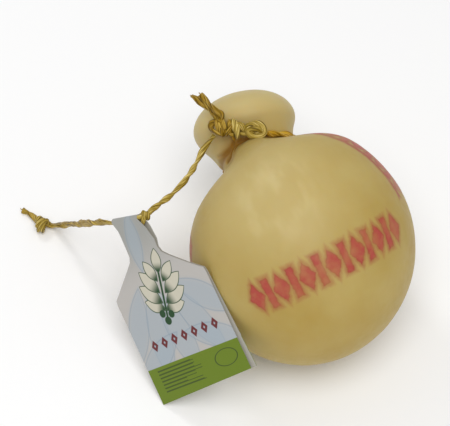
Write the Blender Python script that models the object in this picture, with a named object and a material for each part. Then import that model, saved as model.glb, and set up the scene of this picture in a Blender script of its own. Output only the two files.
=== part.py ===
"""A round provolone cheese with a tied neck, its twine and a folded paper tag.

Sizes are in metres and +Z is up.  The cheese lies on its side with the head
towards -X, on the small flat that its weight has pressed into it.  The twine
ties the neck, sags to the tag that leans on the cheese, passes through the
tag's strap and drops to the surface, where it ends in a knot.
"""
import math

import bmesh
import bpy
from mathutils import Euler, Vector

# The cheese: a ball, a neck drawn in by the twine, and a flattened round head.
BALL_RADIUS = 0.065
BALL_CENTRE = Vector((0.0238, 0.0, 0.0634))
AXIS_RISE = math.radians(5)             # how far the head end is raised
SHOULDER_ANGLE = math.radians(122)      # where the ball turns into the neck
NECK_ALONG = 0.066                      # distances along the axis, from the ball's centre
NECK_RADIUS = 0.0231
TIE_ALONG = 0.0685
HEAD_ALONG = 0.0895
HEAD_RADIUS = 0.0306
HEAD_HALF_LENGTH = 0.0203
HEAD_UNDERSIDE = math.radians(68)
HEAD_SHIFT = (0.0015, 0.0011)           # the head sits a little off the axis
HEAD_LEAN = (-0.27, -0.101)             # and tips up and towards +Y
SWELL = 0.039                           # the cheese is a little longer this way than across
SWELL_WAY = Vector((-0.728, 0.302, 0.616))
FULL_TURNS = (-66, -20, -12, 20)        # degrees: here the shoulder fills out up to the tie
FULL_ALONG = 0.0462                     # from here it runs straight to the tie
FULL_SLOPE = 1.014
TIE_DIP = 0.0052                        # on this side the tie lies nearer the ball
TIE_DIP_TURN = math.radians(36)
TIE_DIP_SPREAD = math.radians(50)
TIE_DIP_REACH = 0.014
WAIST_DEPTH = 0.0034                    # a hollow on one side, just on the ball's side of the tie
WAIST_ALONG = 0.051
WAIST_REACH = 0.0145
WAIST_TURN = math.radians(-72)
WAIST_SPREAD = math.radians(42)
HUMP_HEIGHT = 0.0013                    # the shoulder stands a little proud beside the tie
HUMP_PLACE = Vector((-0.0417, 0.0355, 0.0407))
HUMP_REACH = 0.022
PLEATS = 11
PLEAT_DEPTH = 0.0006
PLEAT_REACH = 0.009
SIDES = 56

# The twine and its knots.
TWINE_RADIUS = 0.0015
END_RADIUS = 0.0012
TIE_CLEARANCE = 0.0010
TIE_STEPS = 28
NECK_KNOT_CENTRE = Vector((-0.0500, -0.0170, 0.0983))
NECK_KNOT_SIDEWAYS = Vector((0.3827, 0.9239, 0.0))
NECK_KNOT_UPWARD = Vector((-0.7280, 0.3016, 0.6157))
NECK_KNOT_OUTWARD = Vector((0.5688, -0.2356, 0.7880))
END_KNOT_CENTRE = Vector((-0.0946, -0.1244, 0.0046))
END_KNOT_SIZE = (0.0046, 0.0039, 0.0045)
TAG_KNOT_RADIUS = 0.0034

# The tag: one card folded over the twine, so that a front and a back leaf hang
# from a narrow strap.  Card positions run from the front leaf's lower corner:
# x along the lower edge, y up the leaf and z out of its printed face.
TAG_CORNER = Vector((0.0550, -0.0996, 0.0004))
TAG_TURN = Euler((math.radians(49.5), math.radians(-47.2), math.radians(56.5)))
CARD_THICKNESS = 0.00036
LEAF_WIDTH = 0.0752
BACK_LEAF_SHIFT = 0.0036
BACK_LEAF_DEPTH = 0.0009
LEFT_SHOULDER = 0.0657
RIGHT_SHOULDER = 0.0592
STRAP_BASE = ((0.0258, 0.0846), (0.0496, 0.0814))
STRAP_NARROW = ((0.0256, 0.1000), (0.0462, 0.0960))
LOOP_ENDS = (Vector((0.0242, 0.1076, -0.0020)), Vector((0.0438, 0.1029, -0.0020)))
LOOP_RADIUS = 0.0020
LOOP_STEPS = 8


def clear_scene():
    for item in list(bpy.data.objects):
        bpy.data.objects.remove(item, do_unlink=True)


def finish(name, colour, roughness):
    """A plain surface of one linear colour."""
    surface = bpy.data.materials.new(name)
    surface.use_nodes = True
    shader = surface.node_tree.nodes["Principled BSDF"]
    shader.inputs["Base Color"].default_value = (*colour, 1.0)
    shader.inputs["Roughness"].default_value = roughness
    shader.inputs["Metallic"].default_value = 0.0
    return surface


def add_object(name, mesh_or_curve, surface, smooth=True):
    part = bpy.data.objects.new(name, mesh_or_curve)
    mesh_or_curve.materials.append(surface)
    bpy.context.scene.collection.objects.link(part)
    if part.type == "MESH":
        mesh_or_curve.shade_smooth() if smooth else mesh_or_curve.shade_flat()
    return part


def curved_run(start, start_pull, end, end_pull, steps):
    """Points on a smooth curve between two profile points, without the first."""
    run = []
    for step in range(1, steps + 1):
        t = step / steps
        point = start * (2 * t**3 - 3 * t**2 + 1) + start_pull * (t**3 - 2 * t**2 + t)
        point += end * (3 * t**2 - 2 * t**3) + end_pull * (t**3 - t**2)
        run.append(point)
    return run


def cheese_profile():
    """The cheese's outline from base to tip as (distance along the axis, radius)."""
    outline = []
    ball_steps = 22
    for step in range(1, ball_steps + 1):
        angle = SHOULDER_ANGLE * step / ball_steps
        outline.append(Vector((-math.cos(angle), math.sin(angle))) * BALL_RADIUS)
    neck = Vector((NECK_ALONG, NECK_RADIUS))
    slope = Vector((math.sin(SHOULDER_ANGLE), math.cos(SHOULDER_ANGLE)))
    reach = (neck - outline[-1]).length
    outline += curved_run(
        outline[-1], slope * reach * 0.9, neck, Vector((reach * 0.85, 0)), 12,
    )

    def head_point(angle):
        along = HEAD_ALONG - HEAD_HALF_LENGTH * math.cos(angle)
        return Vector((along, HEAD_RADIUS * math.sin(angle)))

    under = head_point(HEAD_UNDERSIDE)
    slope = Vector((
        HEAD_HALF_LENGTH * math.sin(HEAD_UNDERSIDE),
        HEAD_RADIUS * math.cos(HEAD_UNDERSIDE),
    )).normalized()
    reach = (under - neck).length
    outline += curved_run(
        neck, Vector((reach * 1.2, 0)), under, slope * reach * 0.92, 7,
    )
    head_steps = 9
    for step in range(1, head_steps):
        outline.append(head_point(HEAD_UNDERSIDE + (math.pi - HEAD_UNDERSIDE) * step / head_steps))
    return outline


def axis_directions():
    """Up, sideways and along the cheese's axis, from base to head."""
    up = Vector((math.sin(AXIS_RISE), 0, math.cos(AXIS_RISE)))
    along = Vector((-math.cos(AXIS_RISE), 0, math.sin(AXIS_RISE)))
    return up, Vector((0, 1, 0)), along


def full_shoulder(along, radius, turn):
    """The radius where the ball's skin bulges against the tie instead of narrowing early."""
    if not 0.5 * BALL_RADIUS < along < TIE_ALONG:
        return radius
    full = math.sqrt(max(BALL_RADIUS**2 - along**2, 0))
    if along > FULL_ALONG:
        full = max(full, NECK_RADIUS + FULL_SLOPE * (TIE_ALONG - along))
    degrees = math.degrees(math.remainder(turn, 2 * math.pi))
    begins, complete, until, ends = FULL_TURNS
    share = min((degrees - begins) / (complete - begins), (ends - degrees) / (ends - until))
    share = min(max(share, 0.0), 1.0)
    share = share * share * (3 - 2 * share)
    return radius + share * max(full - radius, 0.0)


def cheese_point(along, radius, turn):
    """A point on the cheese, with pleats at the neck and the head set off the axis."""
    up, side, forward = axis_directions()
    radius = full_shoulder(along, radius, turn)
    dip = TIE_DIP * math.exp(-((along - TIE_ALONG) / TIE_DIP_REACH) ** 2)
    dip *= math.exp(-(math.remainder(turn - TIE_DIP_TURN, 2 * math.pi) / TIE_DIP_SPREAD) ** 2)
    waist = math.exp(-((along - WAIST_ALONG) / WAIST_REACH) ** 2)
    waist *= math.exp(-(math.remainder(turn - WAIST_TURN, 2 * math.pi) / WAIST_SPREAD) ** 2)
    radius -= WAIST_DEPTH * waist
    near_tie = math.exp(-((along - TIE_ALONG) / PLEAT_REACH) ** 2)
    fold = abs(math.sin(turn * PLEATS / 2 + 0.8 * math.sin(2 * turn))) - 0.6
    radius += PLEAT_DEPTH * near_tie * fold
    share = (along - 0.9 * NECK_ALONG) / (HEAD_ALONG - 0.9 * NECK_ALONG)
    share = min(max(share, 0.0), 1.0)
    share = share * share * (3 - 2 * share)
    x = radius * math.cos(turn) + HEAD_SHIFT[0] * share
    y = radius * math.sin(turn) + HEAD_SHIFT[1] * share
    along += share * (HEAD_LEAN[0] * x + HEAD_LEAN[1] * y) - dip
    point = up * x + side * y + forward * along
    way = SWELL_WAY.normalized()
    point += way * point.dot(way) * SWELL
    hump = math.exp(-((point - HUMP_PLACE).length / HUMP_REACH) ** 2)
    return point + point.normalized() * HUMP_HEIGHT * hump


def make_cheese(surface):
    shape = bmesh.new()
    base = shape.verts.new(cheese_point(-BALL_RADIUS, 0, 0))
    rings = []
    for along, radius in cheese_profile():
        turns = [2 * math.pi * side / SIDES for side in range(SIDES)]
        rings.append([shape.verts.new(cheese_point(along, radius, turn)) for turn in turns])
    tip = shape.verts.new(cheese_point(HEAD_ALONG + HEAD_HALF_LENGTH, 0, 0))
    for side in range(SIDES):
        other = (side + 1) % SIDES
        shape.faces.new((base, rings[0][other], rings[0][side]))
        for lower, upper in zip(rings, rings[1:]):
            shape.faces.new((lower[side], lower[other], upper[other], upper[side]))
        shape.faces.new((rings[-1][side], rings[-1][other], tip))
    everything = shape.verts[:] + shape.edges[:] + shape.faces[:]
    floor = Vector((0, 0, -BALL_CENTRE.z))
    cut = bmesh.ops.bisect_plane(
        shape, geom=everything, dist=1e-6, plane_co=floor, plane_no=(0, 0, -1), clear_outer=True,
    )
    rim = [item for item in cut["geom_cut"] if isinstance(item, bmesh.types.BMEdge)]
    bmesh.ops.contextual_create(shape, geom=rim)
    bmesh.ops.recalc_face_normals(shape, faces=shape.faces[:])
    mesh = bpy.data.meshes.new("cheese")
    shape.to_mesh(mesh)
    shape.free()
    cheese = add_object("cheese", mesh, surface)
    cheese.location = BALL_CENTRE
    return cheese


def smooth_route(points, spacing):
    """Evenly spaced points on a smooth curve through a route's own points."""
    padded = [points[0] * 2 - points[1], *points, points[-1] * 2 - points[-2]]
    fine = []
    for first, second, third, fourth in zip(padded, padded[1:], padded[2:], padded[3:]):
        for step in range(24):
            t = step / 24
            fine.append(0.5 * (
                2 * second
                + (third - first) * t
                + (2 * first - 5 * second + 4 * third - fourth) * t**2
                + (3 * second - first - 3 * third + fourth) * t**3
            ))
    fine.append(points[-1])
    lengths = [0.0]
    for before, after in zip(fine, fine[1:]):
        lengths.append(lengths[-1] + (after - before).length)
    count = max(2, round(lengths[-1] / spacing))
    route = []
    index = 0
    for step in range(count + 1):
        target = lengths[-1] * step / count
        while index < len(fine) - 2 and lengths[index + 1] < target:
            index += 1
        span = lengths[index + 1] - lengths[index]
        route.append(fine[index].lerp(fine[index + 1], min(1.0, (target - lengths[index]) / span)))
    return route


def make_tube(name, points, radius, surface, closed=False):
    """A filled round tube along a smooth curve through the points, or a closed round of it."""
    curve = bpy.data.curves.new(name, "CURVE")
    curve.dimensions = "3D"
    curve.bevel_depth = radius
    curve.bevel_resolution = 2
    curve.render_resolution_u = 0
    curve.use_fill_caps = True
    spline = curve.splines.new("POLY")
    spline.use_cyclic_u = closed
    route = points if closed else smooth_route(points, 4.6 * radius)
    spline.points.add(len(route) - 1)
    for target, point in zip(spline.points, route):
        target.co = (*point, 1.0)
    return add_object(name, curve, surface)


def in_metres(points_mm):
    return [Vector(point) / 1000 for point in points_mm]


def make_neck_tie(surface):
    """The round of twine that draws in the neck; it lies in the crease it makes."""
    middle_radius = NECK_RADIUS + TWINE_RADIUS + TIE_CLEARANCE
    route = []
    for step in range(TIE_STEPS):
        turn = 2 * math.pi * step / TIE_STEPS
        route.append(BALL_CENTRE + cheese_point(TIE_ALONG + TIE_CLEARANCE, middle_radius, turn))
    return make_tube("neck_tie", route, TWINE_RADIUS, surface, closed=True)


def make_neck_knot(surface):
    """The long lump of the wound knot and its bulging loop, as one body through its sections."""
    shape = bmesh.new()
    sections = []
    for sideways, upward, outward, half_height, half_depth in NECK_KNOT_SECTIONS:
        centre = NECK_KNOT_SIDEWAYS * sideways + NECK_KNOT_UPWARD * upward
        centre += NECK_KNOT_OUTWARD * outward
        section = []
        for step in range(KNOT_SIDES):
            angle = 2 * math.pi * step / KNOT_SIDES
            place = centre + NECK_KNOT_UPWARD * half_height * math.cos(angle)
            place += NECK_KNOT_OUTWARD * half_depth * math.sin(angle)
            section.append(shape.verts.new(NECK_KNOT_CENTRE + place / 1000))
        sections.append(section)
    for lower, upper in zip(sections, sections[1:]):
        for step in range(KNOT_SIDES):
            other = (step + 1) % KNOT_SIDES
            shape.faces.new((lower[step], lower[other], upper[other], upper[step]))
    shape.faces.new(sections[0])
    shape.faces.new(sections[-1])
    bmesh.ops.recalc_face_normals(shape, faces=shape.faces[:])
    mesh = bpy.data.meshes.new("neck_knot")
    shape.to_mesh(mesh)
    shape.free()
    return add_object("neck_knot", mesh, surface)


def make_knot(name, centre, half_lengths, surface):
    """A closed lump of wound twine: an ellipsoid with a shallow winding round it."""
    shape = bmesh.new()
    bmesh.ops.create_uvsphere(shape, u_segments=16, v_segments=10, radius=1.0)
    for vert in shape.verts:
        winding = math.sin(3 * math.atan2(vert.co.y, vert.co.z) + 2.2 * vert.co.x)
        vert.co *= 0.96 + 0.04 * winding * (1 - vert.co.z**2)
        vert.co = Vector(value * half for value, half in zip(vert.co, half_lengths))
    mesh = bpy.data.meshes.new(name)
    shape.to_mesh(mesh)
    shape.free()
    knot = add_object(name, mesh, surface)
    knot.location = centre
    return knot


def tag_place(point):
    """A card position in the tag, as a position in the world."""
    return TAG_CORNER + TAG_TURN.to_matrix() @ Vector(point)


def tag_rows():
    """The card from its front lower edge over the loop to its back lower edge."""
    deep = -BACK_LEAF_DEPTH
    rows = [
        ((0, 0, 0), (LEAF_WIDTH, 0, 0)),
        ((0, LEFT_SHOULDER, 0), (LEAF_WIDTH, RIGHT_SHOULDER, 0)),
        ((*STRAP_BASE[0], 0), (*STRAP_BASE[1], 0)),
        ((*STRAP_NARROW[0], 0), (*STRAP_NARROW[1], 0)),
    ]
    left, right = LOOP_ENDS
    across = (right - left).normalized()
    rise = Vector((-across.y, across.x, 0))
    outward = Vector((0, 0, 1))
    for step in range(LOOP_STEPS + 1):
        angle = math.pi * step / LOOP_STEPS
        bend = (rise * math.sin(angle) + outward * math.cos(angle)) * LOOP_RADIUS
        rows.append((left + bend, right + bend))
    half = BACK_LEAF_SHIFT / 2
    rows += [
        tuple((x + half, y, deep - 0.0019) for x, y in STRAP_NARROW),
        tuple((x + half, y, deep) for x, y in STRAP_BASE),
        ((BACK_LEAF_SHIFT, LEFT_SHOULDER, deep), (LEAF_WIDTH + BACK_LEAF_SHIFT, RIGHT_SHOULDER, deep)),
        ((BACK_LEAF_SHIFT, 0, deep), (LEAF_WIDTH + BACK_LEAF_SHIFT, 0, deep)),
    ]
    return [(Vector(left), Vector(right)) for left, right in rows]


def make_tag(surface):
    """The folded card as one solid: a thick sheet that follows its rows."""
    rows = tag_rows()
    shape = bmesh.new()
    skins = ([], [])
    for index, (left, right) in enumerate(rows):
        before = rows[max(index - 1, 0)]
        after = rows[min(index + 1, len(rows) - 1)]
        climb = (after[0] + after[1] - before[0] - before[1]).normalized()
        facing = (right - left).cross(climb).normalized() * CARD_THICKNESS / 2
        for skin, offset in zip(skins, (facing, -facing)):
            skin.append((shape.verts.new(left + offset), shape.verts.new(right + offset)))
    front, back = skins
    for index in range(len(rows) - 1):
        (a, b), (c, d) = front[index], front[index + 1]
        (e, f), (g, h) = back[index], back[index + 1]
        for corners in ((a, b, d, c), (e, g, h, f), (a, c, g, e), (b, f, h, d)):
            shape.faces.new(corners)
    shape.faces.new((front[0][0], back[0][0], back[0][1], front[0][1]))
    shape.faces.new((front[-1][0], front[-1][1], back[-1][1], back[-1][0]))
    bmesh.ops.recalc_face_normals(shape, faces=shape.faces[:])
    mesh = bpy.data.meshes.new("tag")
    shape.to_mesh(mesh)
    shape.free()
    tag = add_object("tag", mesh, surface, smooth=False)
    tag.location = TAG_CORNER
    tag.rotation_euler = TAG_TURN
    return tag


# The neck knot's sections, in millimetres from its centre: sideways, upward and
# outward, then its half height and half depth there.
KNOT_SIDES = 16
NECK_KNOT_SECTIONS = [
    (-9.4, 0.9, -4.4, 0.9, 0.8), (-8.6, 0.8, -3.9, 2.1, 1.8), (-6.6, 0.5, -2.7, 3.4, 2.6),
    (-3.6, 0.1, -0.9, 4.4, 3.3), (0.0, -0.2, 0.6, 4.8, 3.7), (3.6, -0.5, 1.6, 4.4, 3.6),
    (6.8, -0.9, 2.0, 3.5, 3.1), (9.4, -1.2, 2.1, 2.6, 2.4), (11.6, -1.4, 2.8, 2.4, 2.2),
    (13.8, -1.7, 4.0, 3.1, 2.6), (16.4, -1.9, 4.5, 3.6, 2.9), (19.0, -2.0, 4.2, 3.3, 2.7),
    (21.2, -2.1, 3.2, 2.2, 1.9), (22.2, -2.1, 2.9, 0.9, 0.8),
]

# The twine's own route, in millimetres, from the knot at the neck to its frayed end.
UPPER_RUN = [
    (-52.3, -23.3, 91.8), (-51.6, -25.2, 90.8), (-50.1, -27.4, 89.9), (-46.6, -33.6, 87.3),
    (-40.4, -40.8, 84.4), (-34.4, -48.8, 82.7), (-30.7, -54.7, 82.2), (-26.8, -61.1, 82.4),
    (-22.0, -70.4, 83.9), (-18.4, -76.2, 85.5), (-16.5, -78.5, 86.3),
]
LOWER_RUN = [
    (-16.4, -83.8, 85.1), (-22.4, -89.9, 78.8), (-27.9, -95.8, 72.6), (-35.0, -100.0, 66.9),
    (-41.9, -102.9, 59.7), (-51.3, -105.9, 49.2), (-63.3, -108.5, 35.7), (-75.9, -110.9, 21.3),
    (-86.0, -113.7, 9.8), (-91.8, -116.8, 3.8), (-94.2, -119.2, 2.4),
]
TAIL_RUN = [
    (-99.8, -125.0, 2.8), (-103.8, -126.1, 2.3), (-108.2, -128.1, 2.1), (-112.6, -131.2, 2.0),
]
FIRST_CUT_END = [
    (-57.9, -19.6, 100.8), (-60.4, -20.7, 101.2), (-65.8, -22.9, 102.7), (-70.2, -26.4, 105.2),
    (-72.4, -29.3, 107.8),
]
SECOND_CUT_END = [
    (-55.4, -17.6, 103.6), (-58.9, -19.2, 104.2), (-63.8, -21.7, 106.3), (-69.4, -25.1, 110.8),
]


def make_twine(surface):
    make_neck_tie(surface)
    make_neck_knot(surface)
    make_tube("tie_end_1", in_metres(FIRST_CUT_END), END_RADIUS, surface)
    make_tube("tie_end_2", in_metres(SECOND_CUT_END), END_RADIUS, surface)
    make_tube("twine_upper", in_metres(UPPER_RUN), TWINE_RADIUS, surface)
    make_tube("twine_lower", in_metres(LOWER_RUN), TWINE_RADIUS, surface)
    make_tube("twine_tail", in_metres(TAIL_RUN), TWINE_RADIUS, surface)
    left, right = LOOP_ENDS
    beside_loop = right + (right - left).normalized() * (TAG_KNOT_RADIUS + 0.0010)
    tag_knot_size = (TAG_KNOT_RADIUS,) * 3
    make_knot("tag_knot", tag_place(beside_loop), tag_knot_size, surface)
    make_knot("end_knot", END_KNOT_CENTRE, END_KNOT_SIZE, surface)


clear_scene()
make_cheese(finish("rind", (0.76, 0.62, 0.31), 0.42))
make_twine(finish("raffia", (0.42, 0.29, 0.07), 0.55))
make_tag(finish("card", (0.70, 0.74, 0.80), 0.45))
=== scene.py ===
"""A provolone on its side, with its tied neck, its raffia twine and a folded card tag."""
import math

import bpy
import numpy as np
from mathutils import Euler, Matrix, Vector, noise


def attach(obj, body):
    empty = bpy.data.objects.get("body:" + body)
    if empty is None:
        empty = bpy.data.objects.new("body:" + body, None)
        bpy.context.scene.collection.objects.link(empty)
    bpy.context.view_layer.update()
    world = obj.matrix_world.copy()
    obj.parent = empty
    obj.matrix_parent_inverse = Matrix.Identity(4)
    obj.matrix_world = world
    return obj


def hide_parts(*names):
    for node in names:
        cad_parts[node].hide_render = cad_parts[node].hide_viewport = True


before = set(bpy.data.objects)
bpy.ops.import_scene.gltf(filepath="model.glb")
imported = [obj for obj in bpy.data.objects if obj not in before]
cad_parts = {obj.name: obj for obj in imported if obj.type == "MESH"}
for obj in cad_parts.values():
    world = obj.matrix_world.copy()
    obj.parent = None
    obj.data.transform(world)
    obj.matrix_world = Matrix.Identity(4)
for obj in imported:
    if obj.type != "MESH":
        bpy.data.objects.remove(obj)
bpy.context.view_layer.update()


# ---- The floor, the lights and the camera ----
# A smooth pale studio floor under two round soft boxes in an even white room.
# The camera looks down on the cheese from its base end, a little to the tag's side.

CAMERA_AZIMUTH = math.radians(67.5)
CAMERA_ELEVATION = math.radians(52)
CAMERA_DISTANCE = 0.9
CAMERA_TARGET = Vector((-0.00787, -0.03501, 0.07579))
CAMERA_LENS = 124.84                    # millimetres, on the usual 36 mm sensor
FLOOR_WHITE = "FAFAFA"
FLOOR_DROP = 0.0002                     # the floor lies just under what rests on it
ROOM_LIGHT = 0.43


def linear(hex_colour):
    """An sRGB hex colour as linear red, green, blue and a full alpha."""
    values = [int(hex_colour[i:i + 2], 16) / 255 for i in (0, 2, 4)]
    curved = [v / 12.92 if v <= 0.04045 else ((v + 0.055) / 1.055) ** 2.4 for v in values]
    return (*curved, 1.0)


def new_material(name):
    """An empty material with its Principled shader wired up: (material, tree, shader)."""
    material = bpy.data.materials.new(name)
    material.use_nodes = True
    tree = material.node_tree
    return material, tree, tree.nodes["Principled BSDF"]


scene = bpy.context.scene
scene.view_settings.view_transform = "Standard"

floor_mesh = bpy.data.meshes.new("studio_floor")
floor_mesh.from_pydata([(-4, -4, 0), (4, -4, 0), (4, 4, 0), (-4, 4, 0)], [], [(0, 1, 2, 3)])
studio_floor = bpy.data.objects.new("studio_floor", floor_mesh)
studio_floor.location.z = -FLOOR_DROP
scene.collection.objects.link(studio_floor)
# a matt laminate sheet, which shows soft shadows and next to no gloss
floor_material, _, floor_shader = new_material("matt white laminate")
floor_shader.inputs["Base Color"].default_value = linear(FLOOR_WHITE)
floor_shader.inputs["Roughness"].default_value = 0.85
floor_shader.inputs["Specular IOR Level"].default_value = 0.1
floor_mesh.materials.append(floor_material)

world = bpy.data.worlds.new("white room")
world.use_nodes = True
world.node_tree.nodes["Background"].inputs["Color"].default_value = linear("FFFFFF")
world.node_tree.nodes["Background"].inputs["Strength"].default_value = ROOM_LIGHT
scene.world = world

SOFT_BOXES = (                          # name, direction, distance and size in metres, watts
    ("top_box", (-0.66, -0.10, 0.74), 1.3, 0.35, 2.4),
    ("front_box", (0.40, -0.12, 0.89), 2.2, 1.7, 32.5),
)
for box_name, direction, distance, box_size, watts in SOFT_BOXES:
    light = bpy.data.lights.new(box_name, "AREA")
    light.shape = "DISK"
    light.size = box_size
    light.energy = watts
    lamp = bpy.data.objects.new(box_name, light)
    lamp.location = CAMERA_TARGET + Vector(direction).normalized() * distance
    lamp.rotation_euler = Vector(direction).to_track_quat("Z", "Y").to_euler()
    scene.collection.objects.link(lamp)

camera_data = bpy.data.cameras.new("camera")
camera_data.lens = CAMERA_LENS
camera = bpy.data.objects.new("camera", camera_data)
level = CAMERA_DISTANCE * math.cos(CAMERA_ELEVATION)
camera.location = CAMERA_TARGET + Vector((
    level * math.sin(CAMERA_AZIMUTH),
    -level * math.cos(CAMERA_AZIMUTH),
    CAMERA_DISTANCE * math.sin(CAMERA_ELEVATION),
))
camera.rotation_euler = (camera.location - CAMERA_TARGET).to_track_quat("Z", "Y").to_euler()
scene.collection.objects.link(camera)
scene.camera = camera


# ---- The cheese ----
# A ball of stretched curd, drawn in to a neck by its twine and topped by a small
# round head.  Brined, dried and wiped with a thin coat of wax, it is satin-smooth,
# a little uneven, and creased only where the tie gathers the skin.

BALL_RADIUS = 0.065
BALL_CENTRE = Vector((0.0238, 0.0, 0.0634))
AXIS_RISE = math.radians(5)
SHOULDER_ANGLE = math.radians(122)
NECK_ALONG = 0.066
NECK_RADIUS = 0.0231
TIE_ALONG = 0.0685
HEAD_ALONG = 0.0895
HEAD_RADIUS = 0.0306
HEAD_HALF_LENGTH = 0.0203
HEAD_UNDERSIDE = math.radians(68)
HEAD_SHIFT = (0.0015, 0.0011)
HEAD_LEAN = (-0.27, -0.101)
HEAD_BEGINS = 0.9 * NECK_ALONG          # from here on the shift and the lean come in
SHOULDER_PULLS = (0.9, 0.85)            # how firmly a run's two ends hold its direction
UNDERSIDE_PULLS = (1.2, 0.92)
SWELL = 0.039                           # the whole is this much longer one way
SWELL_WAY = Vector((-0.728, 0.302, 0.616)).normalized()
FULL_TURNS = (-66, -20, -12, 20)        # degrees: here the shoulder fills out up to the tie
FULL_ALONG = 0.0462                     # from here it runs straight to the tie
FULL_SLOPE = 1.014
TIE_DIP = 0.0052                        # on this side the tie lies nearer the ball
TIE_DIP_TURN = math.radians(36)
TIE_DIP_SPREAD = math.radians(50)
TIE_DIP_REACH = 0.014
WAIST_DEPTH = 0.0034                    # a hollow on one side, just below the tie
WAIST_ALONG = 0.051
WAIST_REACH = 0.0145
WAIST_TURN = math.radians(-72)
WAIST_SPREAD = math.radians(42)
HUMP_HEIGHT = 0.0013                    # the shoulder stands a little proud beside the tie
HUMP_PLACE = Vector((-0.0417, 0.0355, 0.0407))
HUMP_REACH = 0.022
PLEATS = 11
PLEAT_DEPTH = 0.0006
PLEAT_REACH = 0.009
LUMPS = ((34, 0.00032), (90, 0.00010))  # how many to a metre, and how high
CHEESE_SIDES = 288
TIE_BITE = 0.0012                       # how deep the tie presses into the neck
TIE_BITE_REACH = 0.0020
# Folds of gathered skin below the knot: their lines in millimetres, then how deep
# and how wide each one is.
FOLDS = (
    (((-46.8, -13.6, 90.6), (-45.5, -14.6, 88.7), (-43.6, -15.7, 86.5), (-41.8, -17.2, 84.5),
      (-40.8, -18.2, 81.9), (-41.0, -20.1, 78.0)), 0.0014, 0.0011),
    (((-43.5, -9.4, 91.6), (-43.1, -11.9, 90.0), (-41.1, -14.2, 89.6), (-39.5, -16.1, 88.2)),
     0.0009, 0.0010),
    (((-44.5, -17.3, 83.9), (-46.4, -20.2, 79.7), (-49.4, -22.2, 75.0)), 0.0008, 0.0012),
)
# the folds' brown is partly the wax's own colour and partly painted shade in the fold, deeper
# folds darker
DARKEST_FOLD = 0.0022                   # a fold of this depth is brown all through
# how strong the brown is round the tie and under the knot, and how far it reaches: partly wax
# stain, partly painted shade
TIE_STAIN_AND_SHADE, TIE_STAIN_AND_SHADE_REACH = 0.7, 0.0026
KNOT_STAIN_AND_SHADE, KNOT_STAIN_AND_SHADE_REACH = 0.48, 0.015
KNOT_STAIN_AND_SHADE_PLACE = (-0.0440, -0.0130, 0.0880)

AXIS_UP = Vector((math.sin(AXIS_RISE), 0, math.cos(AXIS_RISE)))
AXIS_SIDE = Vector((0, 1, 0))
AXIS_ALONG = Vector((-math.cos(AXIS_RISE), 0, math.sin(AXIS_RISE)))


def eased(share):
    """A share held between 0 and 1 that sets off and arrives softly."""
    share = min(max(share, 0.0), 1.0)
    return share * share * (3 - 2 * share)


def nearness(distance, reach):
    """1 at no distance, falling softly to next to nothing at twice the reach."""
    return math.exp(-(distance / reach) ** 2)


def turned_from(turn, other):
    """The shorter way round the axis between two turns."""
    return math.remainder(turn - other, 2 * math.pi)


def curved_run(start, start_pull, end, end_pull, steps):
    """Points on a smooth curve between two profile points, without the first."""
    run = []
    for step in range(1, steps + 1):
        t = step / steps
        point = start * (2 * t**3 - 3 * t**2 + 1) + start_pull * (t**3 - 2 * t**2 + t)
        run.append(point + end * (3 * t**2 - 2 * t**3) + end_pull * (t**3 - t**2))
    return run


def cheese_profile():
    """The cheese's outline from base to tip as (distance along the axis, radius)."""
    ball_steps, shoulder_steps, under_steps, head_steps = 110, 62, 40, 44
    outline = []
    for step in range(1, ball_steps + 1):
        angle = SHOULDER_ANGLE * step / ball_steps
        outline.append(Vector((-math.cos(angle), math.sin(angle))) * BALL_RADIUS)
    neck = Vector((NECK_ALONG, NECK_RADIUS))
    slope = Vector((math.sin(SHOULDER_ANGLE), math.cos(SHOULDER_ANGLE)))
    reach = (neck - outline[-1]).length
    leave, arrive = SHOULDER_PULLS
    neck_pull = Vector((reach * arrive, 0))
    outline += curved_run(outline[-1], slope * reach * leave, neck, neck_pull, shoulder_steps)
    under = Vector((
        HEAD_ALONG - HEAD_HALF_LENGTH * math.cos(HEAD_UNDERSIDE),
        HEAD_RADIUS * math.sin(HEAD_UNDERSIDE),
    ))
    slope = Vector((
        HEAD_HALF_LENGTH * math.sin(HEAD_UNDERSIDE),
        HEAD_RADIUS * math.cos(HEAD_UNDERSIDE),
    )).normalized()
    reach = (under - neck).length
    leave, arrive = UNDERSIDE_PULLS
    neck_pull = Vector((reach * leave, 0))
    outline += curved_run(neck, neck_pull, under, slope * reach * arrive, under_steps)
    for step in range(1, head_steps):
        angle = HEAD_UNDERSIDE + (math.pi - HEAD_UNDERSIDE) * step / head_steps
        along = HEAD_ALONG - HEAD_HALF_LENGTH * math.cos(angle)
        outline.append(Vector((along, HEAD_RADIUS * math.sin(angle))))
    return outline


def full_shoulder(along, radius, turn):
    """The radius where the ball's skin bulges against the tie instead of narrowing early."""
    if not 0.5 * BALL_RADIUS < along < TIE_ALONG:
        return radius
    full = math.sqrt(max(BALL_RADIUS**2 - along**2, 0))
    if along > FULL_ALONG:
        full = max(full, NECK_RADIUS + FULL_SLOPE * (TIE_ALONG - along))
    degrees = math.degrees(math.remainder(turn, 2 * math.pi))
    begins, complete, until, ends = FULL_TURNS
    share = min((degrees - begins) / (complete - begins), (ends - degrees) / (ends - until))
    return radius + eased(share) * max(full - radius, 0.0)


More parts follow.
